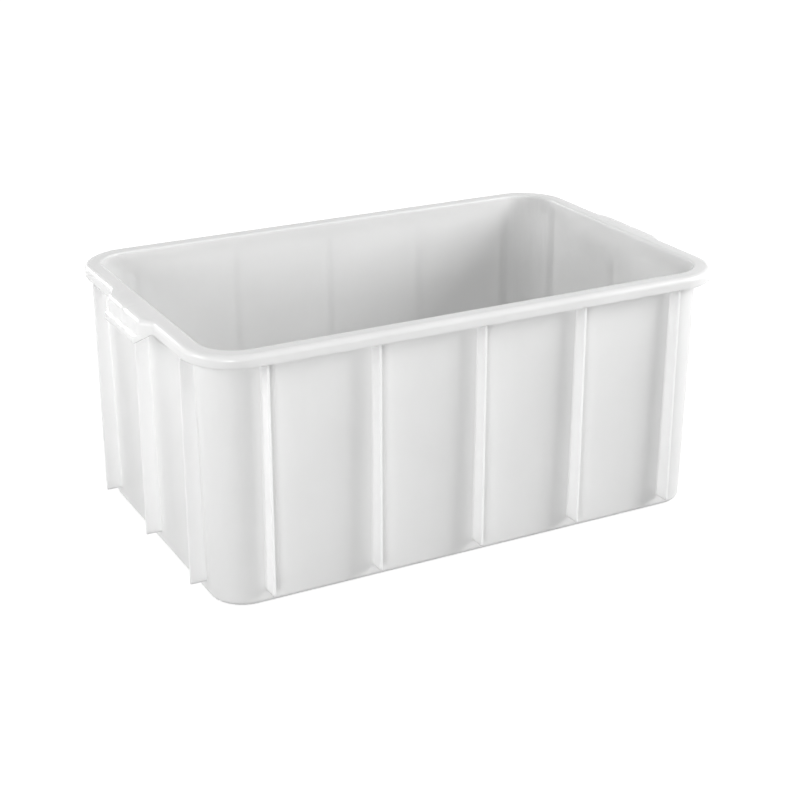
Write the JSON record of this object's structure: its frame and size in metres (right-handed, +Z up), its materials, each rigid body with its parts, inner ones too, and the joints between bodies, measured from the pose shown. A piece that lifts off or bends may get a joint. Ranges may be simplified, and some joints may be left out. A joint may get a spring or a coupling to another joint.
{
  "type": "stacking crate",
  "caption": "Open solid-walled stacking crate with a turned-down rim, upright outside ribs and a hooded hand grip on each end.",
  "frame": {"origin": "centre of the base, on the surface that the crate stands on", "axes": "+X along the crate's length, +Z up out of the mouth"},
  "size_m": [0.674, 0.41, 0.29],
  "materials": {
    "crate_plastic": "natural milky white polyethylene, satin, slightly translucent"
  },
  "bodies": {
    "root": {"tub": "crate_plastic", "rim": "crate_plastic", "front_rib_1": "crate_plastic", "front_rib_2": "crate_plastic", "front_rib_3": "crate_plastic", "front_rib_4": "crate_plastic", "front_rib_5": "crate_plastic", "back_rib_1": "crate_plastic", "back_rib_2": "crate_plastic", "back_rib_3": "crate_plastic", "back_rib_4": "crate_plastic", "back_rib_5": "crate_plastic", "left_rib_1": "crate_plastic", "left_rib_2": "crate_plastic", "left_rib_3": "crate_plastic", "right_rib_1": "crate_plastic", "right_rib_2": "crate_plastic", "right_rib_3": "crate_plastic", "left_handle": "crate_plastic", "right_handle": "crate_plastic"}
  },
  "joints": []
}
